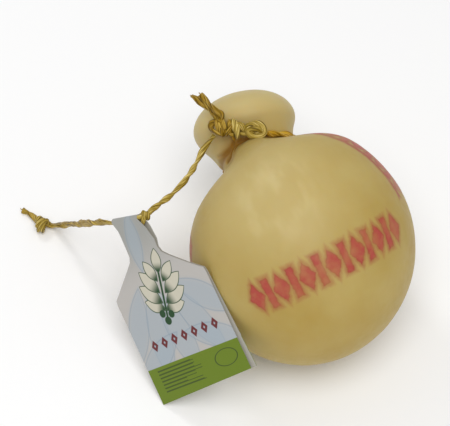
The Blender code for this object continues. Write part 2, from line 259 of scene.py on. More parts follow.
def cheese_point(along, radius, turn, detail=True):
    """A point on the cheese's skin; detail adds the tie's groove and the lumps."""
    radius = full_shoulder(along, radius, turn)
    dip = TIE_DIP * nearness(along - TIE_ALONG, TIE_DIP_REACH)
    dip *= nearness(turned_from(turn, TIE_DIP_TURN), TIE_DIP_SPREAD)
    waist = nearness(along - WAIST_ALONG, WAIST_REACH)
    waist *= nearness(turned_from(turn, WAIST_TURN), WAIST_SPREAD)
    radius -= WAIST_DEPTH * waist
    # the pleats are gathered by hand, so their spacing is uneven
    pleat = abs(math.sin(turn * PLEATS / 2 + 0.8 * math.sin(2 * turn))) - 0.6
    radius += PLEAT_DEPTH * nearness(along - TIE_ALONG, PLEAT_REACH) * pleat
    if detail:
        radius -= TIE_BITE * nearness(along - TIE_ALONG, TIE_BITE_REACH)
    share = eased((along - HEAD_BEGINS) / (HEAD_ALONG - HEAD_BEGINS))
    x = radius * math.cos(turn) + HEAD_SHIFT[0] * share
    y = radius * math.sin(turn) + HEAD_SHIFT[1] * share
    along += share * (HEAD_LEAN[0] * x + HEAD_LEAN[1] * y) - dip
    point = AXIS_UP * x + AXIS_SIDE * y + AXIS_ALONG * along
    point += SWELL_WAY * point.dot(SWELL_WAY) * SWELL
    hump = nearness((point - HUMP_PLACE).length, HUMP_REACH)
    point += point.normalized() * HUMP_HEIGHT * hump
    if detail:
        lump = sum(noise.noise(point * often) * high for often, high in LUMPS)
        point += point.normalized() * lump
    return BALL_CENTRE + point


def closed_rings(rings, first_tip, last_tip):
    """Vertices and faces of a body lofted through rings and closed by two tips."""
    count = len(rings[0])
    verts = [point for ring in rings for point in ring] + [first_tip, last_tip]
    faces = []
    for row in range(len(rings) - 1):
        for side in range(count):
            other = (side + 1) % count
            faces.append((
                row * count + side, row * count + other,
                (row + 1) * count + other, (row + 1) * count + side,
            ))
    last = (len(rings) - 1) * count
    for side in range(count):
        other = (side + 1) % count
        faces.append((len(verts) - 2, other, side))
        faces.append((last + side, last + other, len(verts) - 1))
    return verts, faces


def add_mesh(name, verts, faces, material, smooth=True):
    """A mesh object that rides on the part and takes its finish from a slot."""
    mesh = bpy.data.meshes.new(name)
    mesh.from_pydata([tuple(v) for v in verts], [], faces)
    mesh.validate()
    if smooth:
        mesh.shade_smooth()
    mesh.materials.append(material)
    piece = bpy.data.objects.new(name, mesh)
    scene.collection.objects.link(piece)
    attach(piece, "root")
    return piece


def store(piece, name, values):
    """Keeps a number or a vector for each vertex, for the material to read."""
    values = np.asarray(values, np.float32)
    kind, field = ("FLOAT", "value") if values.ndim == 1 else ("FLOAT_VECTOR", "vector")
    piece.data.attributes.new(name, kind, "POINT").data.foreach_set(field, values.ravel())


# Red food ink, stamped on by hand: three points of each imprint's middle line on the
# skin, half its length, both in millimetres, and whether its two edges printed too.
STAMPS = (
    (((61.5, -46.4, 88.8), (69.3, -3.5, 109.7), (55.6, 40.2, 103.4)), 46.5, False),
    (((-20.6, 20.6, 106.9), (1.3, 43.5, 106.9), (29.3, 57.4, 94.4)), 31.0, True),
    (((6.7, -62.9, 72.3), (-4.7, -58.2, 43.0), (-6.3, -26.1, 14.0)), 31.0, False),
)


def stamp_places(points, line):
    """Each point's place beside a stamp's middle line, as (along, across, depth) in mm."""
    first, middle, last = (np.array(p) / 1000 for p in line)
    chord, other = last - first, middle - first
    normal = np.cross(other, chord)
    normal /= np.linalg.norm(normal)
    centre = np.array(BALL_CENTRE)
    foot = centre + normal * np.dot(first - centre, normal)
    right = middle - foot
    right -= normal * np.dot(right, normal)
    radius = np.linalg.norm(right)
    right /= radius
    onward = np.cross(normal, right)
    away = points - foot
    angle = np.arctan2(away @ onward, away @ right)
    height = np.arcsin(np.clip((points - centre) @ normal / BALL_RADIUS, -1, 1))
    height -= math.asin(np.dot(first - centre, normal) / BALL_RADIUS)
    return np.stack([angle * radius, height * BALL_RADIUS, away @ right], 1) * 1000


profile = cheese_profile()
turns = [2 * math.pi * side / CHEESE_SIDES for side in range(CHEESE_SIDES)]
rings = [[cheese_point(along, radius, turn) for turn in turns] for along, radius in profile]
base_tip = cheese_point(-BALL_RADIUS, 0, 0)
head_tip = cheese_point(HEAD_ALONG + HEAD_HALF_LENGTH, 0, 0)
points, faces = closed_rings(rings, base_tip, head_tip)
points = np.array([tuple(point) for point in points])
points[:, 2] = np.maximum(points[:, 2], 0.0)    # the small flat that it rests on


def distance_to_line(points, line):
    """Each point's distance to a line through given points."""
    nearest = np.full(len(points), 1.0)
    for start, end in zip(line, line[1:]):
        span = end - start
        share = np.clip((points - start) @ span / (span @ span), 0, 1)
        away = points - start - share[:, None] * span
        nearest = np.minimum(nearest, np.linalg.norm(away, axis=1))
    return nearest


axis_foot = np.array(BALL_CENTRE + AXIS_ALONG * TIE_ALONG)
inward = axis_foot - points
inward /= np.linalg.norm(inward, axis=1)[:, None]
knot_stain_and_shade = np.linalg.norm(points - np.array(KNOT_STAIN_AND_SHADE_PLACE), axis=1)
knot_stain_and_shade = np.exp(-(knot_stain_and_shade / KNOT_STAIN_AND_SHADE_REACH) ** 2)
fold_stain_and_shade = np.zeros(len(points))
# each fold browns the skin by its depth: partly painted shade in the fold
for line, depth, width in FOLDS:
    press = np.exp(-(distance_to_line(points, np.array(line) / 1000) / width) ** 2)
    points += inward * (press * depth)[:, None]
    fold_stain_and_shade = np.maximum(fold_stain_and_shade, press * depth / DARKEST_FOLD)

RIND = "B39B57"
RIND_WARM = "AF954D"
RIND_PALE = "B8A261"
HEAD_PALE = "C7B57E"
PAINTED_HIGHLIGHT = "D0C08C"
# the brown multiplied into the crease: partly the wax's colour, partly painted shade
CREASE_BROWN_AND_SHADE = "C09A4E"
INK_RED = "AE3A40"
INK_RIM = "9C3534"
# where the painted highlight sits, and how far its haze and its streaks reach
HIGHLIGHT_MIDDLE = (0.0265, -0.0215, 0.1246)
HIGHLIGHT_HAZE_REACH = 0.070
HIGHLIGHT_STREAK_REACH = 0.040


def add_node(tree, kind, inputs=(), **settings):
    """Adds a shader node with its settings, and links or sets its inputs.

    The inputs come in order, or by name in a dict.  Each is a value, a socket, or a node
    whose first output in use is taken.
    """
    node = tree.nodes.new("ShaderNode" + kind)
    for key, value in settings.items():
        setattr(node, key, value)
    in_use = [socket for socket in node.inputs if socket.enabled]
    for key, value in inputs.items() if isinstance(inputs, dict) else enumerate(inputs):
        socket = in_use[key] if isinstance(key, int) else node.inputs[key]
        if isinstance(value, bpy.types.Node):
            value = next(output for output in value.outputs if output.enabled)
        if isinstance(value, bpy.types.NodeSocket):
            tree.links.new(value, socket)
        else:
            socket.default_value = value
    return node


# Dense curd under a thin coat of rubbed wax: a satin gloss, light that glows a few
# millimetres in, cloudy patches some 35 mm across and a faint unevenness of 4 mm.
rind, tree, shader = new_material("waxed provolone rind")
where = add_node(tree, "TexCoord").outputs["Object"]
patches = add_node(tree, "TexNoise", {"Vector": where, "Scale": 28.0, "Detail": 3.0})
fine = add_node(tree, "TexNoise", {"Vector": where, "Scale": 260.0, "Detail": 4.0})
ramp = add_node(tree, "ValToRGB", [patches])
ramp.color_ramp.elements[0].position = 0.32
ramp.color_ramp.elements[0].color = linear(RIND_WARM)
ramp.color_ramp.elements[1].position = 0.70
ramp.color_ramp.elements[1].color = linear(RIND_PALE)
ramp.color_ramp.elements.new(0.5).color = linear(RIND)
headward = add_node(tree, "SeparateXYZ", [where])
headward = add_node(
    tree, "MapRange", [headward.outputs["X"], -0.030, -0.062, 0.0, 0.85],
    interpolation_type="SMOOTHSTEP",
)
paler = add_node(tree, "Mix", [headward, ramp, linear(HEAD_PALE)], data_type="RGBA")
# a painted highlight: a pale haze over the upper side, brightest in streaks near its middle,
# standing in for the wax's soft sheen
away = add_node(tree, "VectorMath", [where, HIGHLIGHT_MIDDLE], operation="DISTANCE")
highlight_haze = add_node(
    tree, "MapRange", [away, HIGHLIGHT_HAZE_REACH, 0.004, 0.0, 0.40], interpolation_type="SMOOTHSTEP",
)
highlight_core = add_node(
    tree, "MapRange", [away, HIGHLIGHT_STREAK_REACH, 0.012, 0.0, 0.30], interpolation_type="SMOOTHSTEP",
)
highlight_streaks = add_node(                      # strokes 11 mm wide and 25 mm long
    tree, "Mapping", [where, (0, 0, 0), (0.2, -0.5, 0.6), (40.0, 92.0, 64.0)],
)
highlight_streaks = add_node(tree, "TexNoise", {"Vector": highlight_streaks, "Scale": 1.0, "Detail": 2.0})
highlight_streaks = add_node(tree, "MapRange", [highlight_streaks, 0.38, 0.68], interpolation_type="SMOOTHSTEP")
highlight_strength = add_node(tree, "Math", [highlight_core, highlight_streaks, highlight_haze], operation="MULTIPLY_ADD")
paler = add_node(tree, "Mix", [highlight_strength, paler, linear(PAINTED_HIGHLIGHT)], data_type="RGBA")
# brown multiplied in round the tie, under the knot and in the folds: partly real wax stain,
# partly painted shade in the crease
crease_stain_and_shade = add_node(tree, "Attribute", attribute_name="crease_stain_and_shade").outputs["Fac"]
colour = add_node(
    tree, "Mix", [crease_stain_and_shade, paler, linear(CREASE_BROWN_AND_SHADE)], data_type="RGBA", blend_type="MULTIPLY",
)


BORDER_STEP = 15.5                      # millimetres, from one lozenge to the next
BORDER_HEIGHT = 18.6
LOZENGE_HALF_WIDTH = 5.3
LOZENGE_SLANT = 0.57                    # its half width over its half height
BAR_HALF_WIDTH = 2.6
EDGE_HALF_WIDTH = 1.1


def outside_strip(tree, value, middle, half_width):
    """How far a value lies outside a strip about its middle; below 0 is inside."""
    away = add_node(tree, "Math", [value, middle], operation="SUBTRACT")
    away = add_node(tree, "Math", [away], operation="ABSOLUTE")
    return add_node(tree, "Math", [away, half_width], operation="SUBTRACT")


def stamp_ink(tree, attribute_name, half_length, edged):
    """Where a stamp's border of lozenges and bars has left ink, and how near a shape's rim.

    Each shape is a distance in millimetres that is below 0 inside it.  A stamp that was
    rocked over as it was pressed has printed its two edges too.
    """
    place = add_node(tree, "Attribute", attribute_name=attribute_name).outputs["Vector"]
    # its outline wanders by up to a millimetre every 3 mm
    wobble = add_node(tree, "TexNoise", {"Vector": place, "Scale": 0.35, "Detail": 2.0})
    moved = add_node(
        tree, "VectorMath", [wobble.outputs["Color"], (2.0, 2.0, 0.0), place],
        operation="MULTIPLY_ADD",
    )
    x, y, _ = add_node(tree, "SeparateXYZ", [moved]).outputs
    along = add_node(tree, "Math", [x, BORDER_STEP / 2], operation="PINGPONG")
    across = add_node(tree, "Math", [y], operation="ABSOLUTE")
    lozenge = add_node(tree, "Math", [across, LOZENGE_SLANT, along], operation="MULTIPLY_ADD")
    lozenge = add_node(tree, "Math", [lozenge, LOZENGE_HALF_WIDTH], operation="SUBTRACT")
    # the upright bars stand half a step away
    bar_side = outside_strip(tree, along, BORDER_STEP / 2, BAR_HALF_WIDTH)
    bar_end = outside_strip(tree, y, 0.0, BORDER_HEIGHT / 2)
    bar = add_node(tree, "Math", [bar_side, bar_end], operation="MAXIMUM")
    # the border ends in a whole lozenge
    beyond = outside_strip(tree, x, 0.0, half_length)
    bar = add_node(tree, "Math", [bar, beyond], operation="MAXIMUM")
    shape = add_node(tree, "Math", [lozenge, bar], operation="MINIMUM")
    if edged:
        edge = outside_strip(tree, bar_end, 0.0, EDGE_HALF_WIDTH)
        shape = add_node(tree, "Math", [shape, edge], operation="MINIMUM")
    beyond = add_node(tree, "Math", [beyond, LOZENGE_HALF_WIDTH + 0.3], operation="SUBTRACT")
    shape = add_node(tree, "Math", [shape, beyond], operation="MAXIMUM")
    inner = add_node(tree, "MapRange", [shape, 0.8, -0.9], interpolation_type="SMOOTHSTEP")
    bleed = add_node(
        tree, "MapRange", [shape, 2.8, -0.6, 0.0, 0.85 if edged else 0.62],
        interpolation_type="SMOOTHSTEP",
    )
    ink = add_node(tree, "Math", [inner, bleed], operation="MAXIMUM")
    depth = add_node(tree, "SeparateXYZ", [place]).outputs["Z"]
    near_side = add_node(tree, "Math", [depth, 0.0], operation="GREATER_THAN")
    ink = add_node(tree, "Math", [ink, near_side], operation="MULTIPLY")
    rim = add_node(tree, "MapRange", [shape, -1.7, -0.3], interpolation_type="SMOOTHSTEP")
    return ink, rim


# the ink has taken unevenly, in patches some 8 mm across
worn = add_node(tree, "TexNoise", {"Vector": where, "Scale": 120.0, "Detail": 3.0})
worn = add_node(tree, "MapRange", [worn, 0.3, 0.6, 0.58, 0.88])
for number, (_, half_length, edged) in enumerate(STAMPS, 1):
    ink, rim = stamp_ink(tree, f"stamp_{number}", half_length, edged)
    red = add_node(tree, "Mix", [rim, linear(INK_RED), linear(INK_RIM)], data_type="RGBA")
    ink = add_node(tree, "Math", [ink, worn], operation="MULTIPLY")
    colour = add_node(tree, "Mix", [ink, colour, red], data_type="RGBA")
tree.links.new(colour.outputs[2], shader.inputs["Base Color"])
gloss = add_node(tree, "MapRange", [fine, 0.3, 0.7, 0.40, 0.52])
tree.links.new(gloss.outputs[0], shader.inputs["Roughness"])
skin = add_node(tree, "Bump", {"Height": fine, "Strength": 0.16, "Distance": 0.0006})
tree.links.new(skin.outputs[0], shader.inputs["Normal"])
shader.inputs["IOR"].default_value = 1.45
shader.inputs["Subsurface Weight"].default_value = 0.5
shader.inputs["Subsurface Radius"].default_value = (1.0, 0.55, 0.22)
shader.inputs["Subsurface Scale"].default_value = 0.006
shader.inputs["Specular IOR Level"].default_value = 0.22

cheese = add_mesh("provolone", points, faces, rind)
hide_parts("cheese")
for number, (line, _, _) in enumerate(STAMPS, 1):
    store(cheese, f"stamp_{number}", stamp_places(points, line))
# the crease's brown, partly stain and partly painted shade, stored for the rind
tied = [nearness(along - TIE_ALONG, TIE_STAIN_AND_SHADE_REACH) for along, _ in profile]
tied = np.append(np.repeat(tied, CHEESE_SIDES), [0.0, 0.0])
store(cheese, "crease_stain_and_shade", np.clip(TIE_STAIN_AND_SHADE * tied + fold_stain_and_shade + KNOT_STAIN_AND_SHADE * knot_stain_and_shade, 0, 1))


# ---- The twine ----
# Two strands of split raffia palm leaf, twisted by hand into a cord of about 3 mm.
# Its fibres run along the strands, glossy and straw-coloured, amber where wax and
# brine have soaked in round the neck.

STRAND_RADIUS = 0.00102
STRAND_OFFSET = 0.00058
STRAND_SIDES = 14
TWINE_LAY = (0.024, 0.026, 0.026, 0.028, 0.060, 0.090, 0.075, 0.016)  # a full turn, knot to end
UPPER_RUN = (
    (-52.3, -23.3, 91.8), (-51.6, -25.2, 90.8), (-50.1, -27.4, 89.9), (-46.6, -33.6, 87.3),
    (-40.4, -40.8, 84.4), (-34.4, -48.8, 82.7), (-30.7, -54.7, 82.2), (-26.8, -61.1, 82.4),
    (-22.0, -70.4, 83.9), (-18.4, -76.2, 85.5), (-16.5, -78.5, 86.3),
)
LOWER_RUN = (
    (-16.4, -83.8, 85.1), (-22.4, -89.9, 78.8), (-27.9, -95.8, 72.6), (-35.0, -100.0, 66.9),
    (-41.9, -102.9, 59.7), (-51.3, -105.9, 49.2), (-63.3, -108.5, 35.7), (-75.9, -110.9, 21.3),
    (-86.0, -113.7, 9.8), (-91.8, -116.8, 3.8), (-94.2, -119.2, 2.4),
)
TAIL_RUN = (
    (-99.8, -125.0, 2.8), (-103.8, -126.1, 2.3), (-108.2, -128.1, 2.1), (-112.6, -131.2, 2.0),
)
FIRST_CUT_END = (
    (-57.9, -19.6, 100.8), (-60.4, -20.7, 101.2), (-65.8, -22.9, 102.7), (-70.2, -26.4, 105.2),
    (-72.4, -29.3, 107.8),
)
SECOND_CUT_END = (
    (-55.4, -17.6, 103.6), (-58.9, -19.2, 104.2), (-63.8, -21.7, 106.3), (-69.4, -25.1, 110.8),
)


def smooth_line(points, spacing):
    """Evenly spaced points on a smooth curve through the given ones, as an array."""
    points = [np.array(p, float) for p in points]
    padded = [points[0] * 2 - points[1], *points, points[-1] * 2 - points[-2]]
    fine = []
    for a, b, c, d in zip(padded, padded[1:], padded[2:], padded[3:]):
        for step in range(20):
            t = step / 20
            fine.append(0.5 * (
                2 * b + (c - a) * t + (2 * a - 5 * b + 4 * c - d) * t**2
                + (3 * b - a - 3 * c + d) * t**3
            ))
    fine = np.array(fine + [points[-1]])
    lengths = np.concatenate([[0], np.cumsum(np.linalg.norm(np.diff(fine, axis=0), axis=1))])
    count = max(4, round(lengths[-1] / spacing))
    even = np.linspace(0, lengths[-1], count + 1)
    return np.stack([np.interp(even, lengths, fine[:, k]) for k in range(3)], 1)


def carried_frames(line):
    """Two crosswise directions for each point, carried along without spinning."""
    ahead = np.gradient(line, axis=0)
    ahead /= np.linalg.norm(ahead, axis=1)[:, None]
    across = np.cross(ahead[0], (0.31, 0.22, 0.92))
    firsts = []
    for direction in ahead:
        across = across - direction * np.dot(across, direction)
        across /= np.linalg.norm(across)
        firsts.append(across)
    firsts = np.array(firsts)
    return firsts, np.cross(ahead, firsts)


def twist(line, seed, strands=2, radius=STRAND_RADIUS, offset=STRAND_OFFSET, lay=TWINE_LAY,
          taper=(1.0, 1.0)):
    """Strands twisted round a line, each as its vertices, faces and fibre places.

    The lay and the taper may be given at several even steps along the line.
    """
    rng = np.random.default_rng(seed)
    first, second = carried_frames(line)
    steps = np.linalg.norm(np.diff(line, axis=0), axis=1)
    run = np.concatenate([[0], np.cumsum(steps)])
    lays = np.interp(run / run[-1], np.linspace(0, 1, np.size(lay)), np.atleast_1d(lay))
    wind = np.concatenate([[0], np.cumsum(2 * math.pi * steps / lays[1:])])
    around = np.linspace(0, 2 * math.pi, STRAND_SIDES, endpoint=False)
    twisted = []
    swell_phase = rng.uniform(0, 6.28, 4)
    for strand in range(strands):
        # twisted by hand: its turn drifts every 30 mm, its thickness every 19 and 9 mm
        phase = 2 * math.pi * strand / strands
        spin = wind + phase + 0.5 * np.sin(run * 210 + swell_phase[0])
        fat = 1 + 0.10 * np.sin(run * 330 + swell_phase[1] + strand * 2.1)
        fat += 0.07 * np.sin(run * 730 + swell_phase[2] + strand)
        fat *= np.interp(run / run[-1], np.linspace(0, 1, np.size(taper)), taper)
        centre = line + offset * (
            first * np.cos(spin)[:, None] + second * np.sin(spin)[:, None]
        )
        # a strand is a flattened bundle with a few ridges of fibre
        ridges = 1 + 0.07 * np.sin(around * 5 + rng.uniform(0, 6.28))
        ridges += 0.05 * np.sin(around * 3 + rng.uniform(0, 6.28))
        ridges += 0.10 * np.cos(around * 2)
        angle = around[None, :] + spin[:, None]
        reach = radius * fat[:, None] * ridges[None, :]
        ring = centre[:, None, :] + reach[..., None] * (
            first[:, None, :] * np.cos(angle)[..., None]
            + second[:, None, :] * np.sin(angle)[..., None]
        )
        places = [
            (math.cos(side) + strand * 5, math.sin(side), reached * 1000)
            for reached in run for side in around
        ]
        places += [(strand * 5, 0, 0), (strand * 5, 0, run[-1] * 1000)]
        twisted.append((*closed_rings(ring, centre[0], centre[-1]), places))
    return twisted


STRAW_YELLOW = "E2D28C"


def raffia_material(name, dark, mid, pale):
    """Split palm leaf: straw colours in streaks 0.4 mm wide and 8 mm long, with a dry gloss."""
    material, tree, shader = new_material(name)
    place = add_node(tree, "Attribute", attribute_name="fibre").outputs["Vector"]
    stretched = add_node(tree, "VectorMath", [place, (2.4, 2.4, 0.12)], operation="MULTIPLY")
    streaks = add_node(tree, "TexNoise", {"Vector": stretched, "Scale": 1.0, "Detail": 4.0})
    ramp = add_node(tree, "ValToRGB", [streaks])
    ramp.color_ramp.elements[0].position = 0.34
    ramp.color_ramp.elements[0].color = linear(dark)
    ramp.color_ramp.elements[1].position = 0.67
    ramp.color_ramp.elements[1].color = linear(pale)
    ramp.color_ramp.elements.new(0.5).color = linear(mid)
    # from 75 to 115 mm along a length the twine turns darker and more yellow, and stays so to
    # its free end
    length = add_node(tree, "SeparateXYZ", [place]).outputs["Z"]
    yellower_to_end = add_node(tree, "MapRange", [length, 75.0, 115.0, 0.0, 0.62])
    straw = add_node(
        tree, "Mix", [yellower_to_end, ramp, linear(STRAW_YELLOW)],
        data_type="RGBA", blend_type="MULTIPLY",
    )
    tree.links.new(straw.outputs[2], shader.inputs["Base Color"])
    bump = add_node(tree, "Bump", {"Height": streaks, "Strength": 0.5, "Distance": 0.0003})
    tree.links.new(bump.outputs[0], shader.inputs["Normal"])
    shader.inputs["Roughness"].default_value = 0.42
    shader.inputs["Specular IOR Level"].default_value = 0.22
    return material


raffia = raffia_material("twisted raffia", "5E4A0A", "A88E34", "E0CC80")
soaked_raffia = raffia_material("wax-soaked raffia", "543E02", "967412", "CDAE50")
# the tie's real amber, painted lighter than the soaked knot to offset the shade of the crease
# it lies in
shade_lifted_amber_raffia = raffia_material("shade-lifted amber raffia", "7C5A04", "BC9018", "EAC858")


def add_twine(name, ropes, material):
    """One object of several twisted lengths, each (line in metres, seed, shape settings)."""
    verts, faces, places = [], [], []
    for line, seed, shape in ropes:
        for more_verts, more_faces, more_places in twist(line, seed, **shape):
            faces += [tuple(index + len(verts) for index in face) for face in more_faces]
            verts += more_verts
            places += more_places
    piece = add_mesh(name, verts, faces, material)
    store(piece, "fibre", places)
    return piece


free_run = smooth_line([np.array(p) / 1000 for p in UPPER_RUN + LOWER_RUN + TAIL_RUN], 0.0005)
run_shape = {"taper": (1.08, 1.16, 1.16, 1.14, 1.45, 1.55, 1.36, 1.25)}
twine = add_twine("raffia_twine", [(free_run, 11, run_shape)], raffia)
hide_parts("twine_upper", "twine_lower", "twine_tail")


# ---- The tie round the neck and its knot ----
# The same twine, pulled tight round the curd while it is soft, knotted twice over
# itself beside the head, and cut off with two stiff ends.  Wax has darkened it.

KNOT_CENTRE = np.array((-50.0, -17.0, 98.3))
KNOT_AXES = np.array((                  # sideways, upward and outward from the skin
    (0.3827, 0.9239, 0.0), (-0.7280, 0.3016, 0.6157), (0.5688, -0.2356, 0.7880),
))
STOUT = {"radius": 0.00112, "offset": 0.00078, "lay": 0.0210}
THICK = {"radius": 0.00140, "offset": 0.00088, "lay": 0.0280}
COIL_STEPS = 14                         # points to a turn
TIE_STEPS = 44
TIE_LIFT = 0.0011                       # its middle line's height over the neck
TIE_SUNK = 0.0056                       # and how far it sinks into the deep crease
CREASE_TURN, CREASE_SPREAD = -1.20, 0.95


def in_knot(points):
    """Places in the knot's own millimetres, as points in metres."""
    return [(KNOT_CENTRE + np.array(p) @ KNOT_AXES) / 1000 for p in points]


def wound(first, last, turns, half_height, half_depth, lean=0.0, start=0.0):
    """Turns wound round the line from first to last, in the knot's own millimetres."""
    count = max(8, round(turns * COIL_STEPS))
    points = []
    for step in range(count + 1):
        share = step / count
        angle = 2 * math.pi * (turns * share + start)
        centre = np.array(first) * (1 - share) + np.array(last) * share
        turned = (lean * math.cos(angle), half_height * math.cos(angle),
                  half_depth * math.sin(angle))
        points.append(centre + np.array(turned))
    return points


tie_line = in_knot([(18.0, -2.0, 3.0), (22.0, -2.6, 2.2), (25.6, -3.8, 0.6)])
for step in range(4, TIE_STEPS - 4):
    turn = 2 * math.pi * step / TIE_STEPS
    sunk = math.exp(-(turned_from(turn, CREASE_TURN) / CREASE_SPREAD) ** 6)
    ride = NECK_RADIUS + TIE_LIFT - TIE_SUNK * sunk
    tie_line.append(np.array(cheese_point(TIE_ALONG + 0.0004, ride, turn, detail=False)))
tie_line += in_knot([(5.6, -6.2, -6.6), (5.2, -3.0, -4.4)])
tie_line = smooth_line(tie_line, 0.0006)
# the tie takes the amber painted lighter against the crease's shade
neck_tie = add_twine("neck_tie_twine", [(tie_line, 5, STOUT)], shade_lifted_amber_raffia)
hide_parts("neck_tie")

knot_routes = (                         # dark inner turns
    ([(-2.2, 3.4, 1.8), (-6.0, 3.4, -0.2), (-8.8, 1.4, -2.4), (-7.8, -1.6, -2.4),
      (-3.6, -2.8, 0.0), (1.0, -3.6, 1.6), (4.4, -3.8, 1.4)], STOUT),
    (wound((-4.4, 0.6, -0.8), (-1.2, -0.4, 0.9), 1.2, 3.6, 2.5, -1.0, 0.1), THICK),
    (wound((0.4, -0.2, 1.0), (2.6, -0.4, 1.6), 1.1, 3.5, 2.4, 0.9, 0.3), STOUT),
)
bight_routes = (                        # pale outer turns and the bight
    (wound((4.6, -0.8, 1.6), (6.6, -0.9, 2.0), 1.15, 4.0, 2.9, -0.6, 0.55), THICK),
    ([(6.6, 2.2, 3.4), (9.0, 0.6, 3.8), (11.4, -2.0, 4.6), (14.2, -4.6, 5.2),
      (17.0, -5.4, 5.2)], STOUT),
    ([(9.0, -3.0, 1.4), (11.6, -2.4, 3.0), (12.8, 0.4, 4.4), (15.4, 2.0, 5.0), (18.8, 1.6, 5.4),
      (21.4, -0.4, 4.6), (21.6, -3.0, 4.4), (18.8, -4.6, 4.8), (15.2, -4.8, 5.0),
      (12.8, -3.4, 4.4)], THICK),
    ([(13.4, -3.4, 5.0), (15.4, -1.8, 5.8), (18.0, -1.2, 6.0), (20.4, -2.0, 5.0)], THICK),
)


def knot_ropes(routes, seed):
    """The twist of each route, in metres."""
    return [
        (smooth_line(in_knot(route), 0.0005), seed + number, shape)
        for number, (route, shape) in enumerate(routes)
    ]


neck_knot = add_twine("neck_knot_twine", knot_ropes(knot_routes, 20), soaked_raffia)
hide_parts("neck_knot")
add_twine("neck_knot_bight", knot_ropes(bight_routes, 26), raffia)

cut_lines = [
    smooth_line([*in_knot([(-2.0, 2.0, 1.0)]), *(np.array(p) / 1000 for p in run)], 0.0005)
    for run in (FIRST_CUT_END, SECOND_CUT_END)
]
cut_ends = add_twine("cut_ends", [
    (line, 31 + number, STOUT) for number, line in enumerate(cut_lines)
], soaked_raffia)
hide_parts("tie_end_1", "tie_end_2")


# ---- The knot at the tag, the end knot and the frayed ends ----
# A half hitch of the same twine stops the tag from sliding up, and an overhand knot
# keeps its end from unlaying; beyond each cut the stiff fibres splay apart.

def coiled(first, last, turns, radius, start=0.0):
    """Turns of a given radius wound round the line from first to last, in metres."""
    first, last = np.array(first) / 1000, np.array(last) / 1000
    ahead = (last - first) / np.linalg.norm(last - first)
    across = np.cross(ahead, (0, 0, 1))
    across /= np.linalg.norm(across)
    upward = np.cross(across, ahead)
    points = []
    for step in range(round(turns * COIL_STEPS) + 1):
        share = step / round(turns * COIL_STEPS)
        angle = 2 * math.pi * (turns * share + start)
        centre = first * (1 - share) + last * share
        points.append(centre + radius * (across * math.cos(angle) + upward * math.sin(angle)))
    return points


def frayed(tip, ahead, count, length, spread, seed):
    """Single fibres splaying from a cut end, as routes for the twine."""
    rng = np.random.default_rng(seed)
    tip, ahead = np.array(tip) / 1000, np.array(ahead, float)
    ahead /= np.linalg.norm(ahead)
    ropes = []
    for number in range(count):
        side = rng.normal(size=3) * spread
        reach = length * rng.uniform(0.5, 1.0)
        points = [tip + side * 0.0004 - ahead * 0.002]
        for share in (0.4, 0.75, 1.0):
            point = tip + ahead * reach * share + side * reach * share * share
            point[2] = max(point[2], 0.0004)
            points.append(point)
        shape = {
            "strands": 1, "offset": 0.0, "lay": 0.02, "radius": rng.uniform(0.00018, 0.00034),
            "taper": (1.0, 0.9, 0.5),
        }
        ropes.append((smooth_line(points, 0.0005), seed + number, shape))
    return ropes


tag_knot_line = coiled((-16.2, -79.4, 86.3), (-16.0, -83.0, 85.6), 1.8, 0.0017, 0.2)
tag_tail_line = [np.array(p) / 1000 for p in (
    (-14.6, -82.0, 87.6), (-13.3, -82.6, 86.6), (-12.6, -83.2, 85.4), (-12.3, -83.6, 84.2),
)]
tag_knot = add_twine("tag_knot_twine", [
    (smooth_line(tag_knot_line, 0.0005), 41, {"lay": 0.02}),
    (smooth_line(tag_tail_line, 0.0005), 42,
     {"radius": 0.0008, "lay": 0.02, "taper": (1, 0.6)}),
], raffia)
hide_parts("tag_knot")

end_knot_line = [
    np.array((-94.6, -119.6, 2.4)) / 1000,
    *coiled((-92.9, -122.8, 5.3), (-96.1, -126.0, 5.3), 2.1, 0.0032, 0.1),
    np.array((-99.4, -125.2, 2.7)) / 1000,
]
end_knot_line = smooth_line(end_knot_line, 0.0005)
end_knot = add_twine("end_knot_twine", [(end_knot_line, 51, STOUT)], raffia)
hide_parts("end_knot")

add_twine("frayed_fibres", [
    *frayed(TAIL_RUN[-1], (-0.80, -0.58, 0.05), 6, 0.0016, 0.30, 60),
    *frayed(FIRST_CUT_END[-1], (-0.50, -0.60, 0.62), 7, 0.0014, 0.30, 80),
    *frayed(SECOND_CUT_END[-1], (-0.70, -0.42, 0.58), 7, 0.0014, 0.30, 100),
], soaked_raffia)


# ---- The tag ----
# One piece of printed card, folded over the twine so that two leaves hang from a
# narrow strap.  Its ground is pale grey-blue with large soft leaves, under a drawn
# sprig, a row of lozenges and a green band with rules and a ring.

TAG_CORNER = Vector((0.0550, -0.0996, 0.0004))
TAG_TURN = Euler((math.radians(49.5), math.radians(-47.2), math.radians(56.5)))
CARD_THICKNESS = 0.36                   # this and the outlines are in millimetres
LOOP_ENDS = (np.array((24.2, 107.6, -2.0)), np.array((43.8, 102.9, -2.0)))
LOOP_RADIUS = 2.0
FRONT_OUTLINE = (                       # left and right ends of rows, from the lower edge up
    ((0, 0), (75.2, 0)), ((0, 59.2), (75.2, 59.2)), ((0, 63.5), (74.6, 61.8)),
    ((0.6, 66.2), (71.6, 63.6)), ((10.2, 72.9), (64.6, 68.5)), ((20.4, 79.9), (54.2, 76.6)),
    ((24.0, 82.6), (50.3, 80.2)), ((25.6, 85.4), (49.2, 83.6)), ((25.9, 91.0), (49.6, 88.0)),
    ((26.2, 98.1), (47.4, 95.8)), ((26.0, 103.4), (45.4, 100.4)),
)
BACK_SHIFT = 3.6                        # the back leaf shows past the front one
BACK_DEPTH = 0.9
STRAP_SHIFT = 1.2                       # and its strap spreads from the front one's
STRAP_DEPTH = 3.0
TAG_COLUMNS = 26


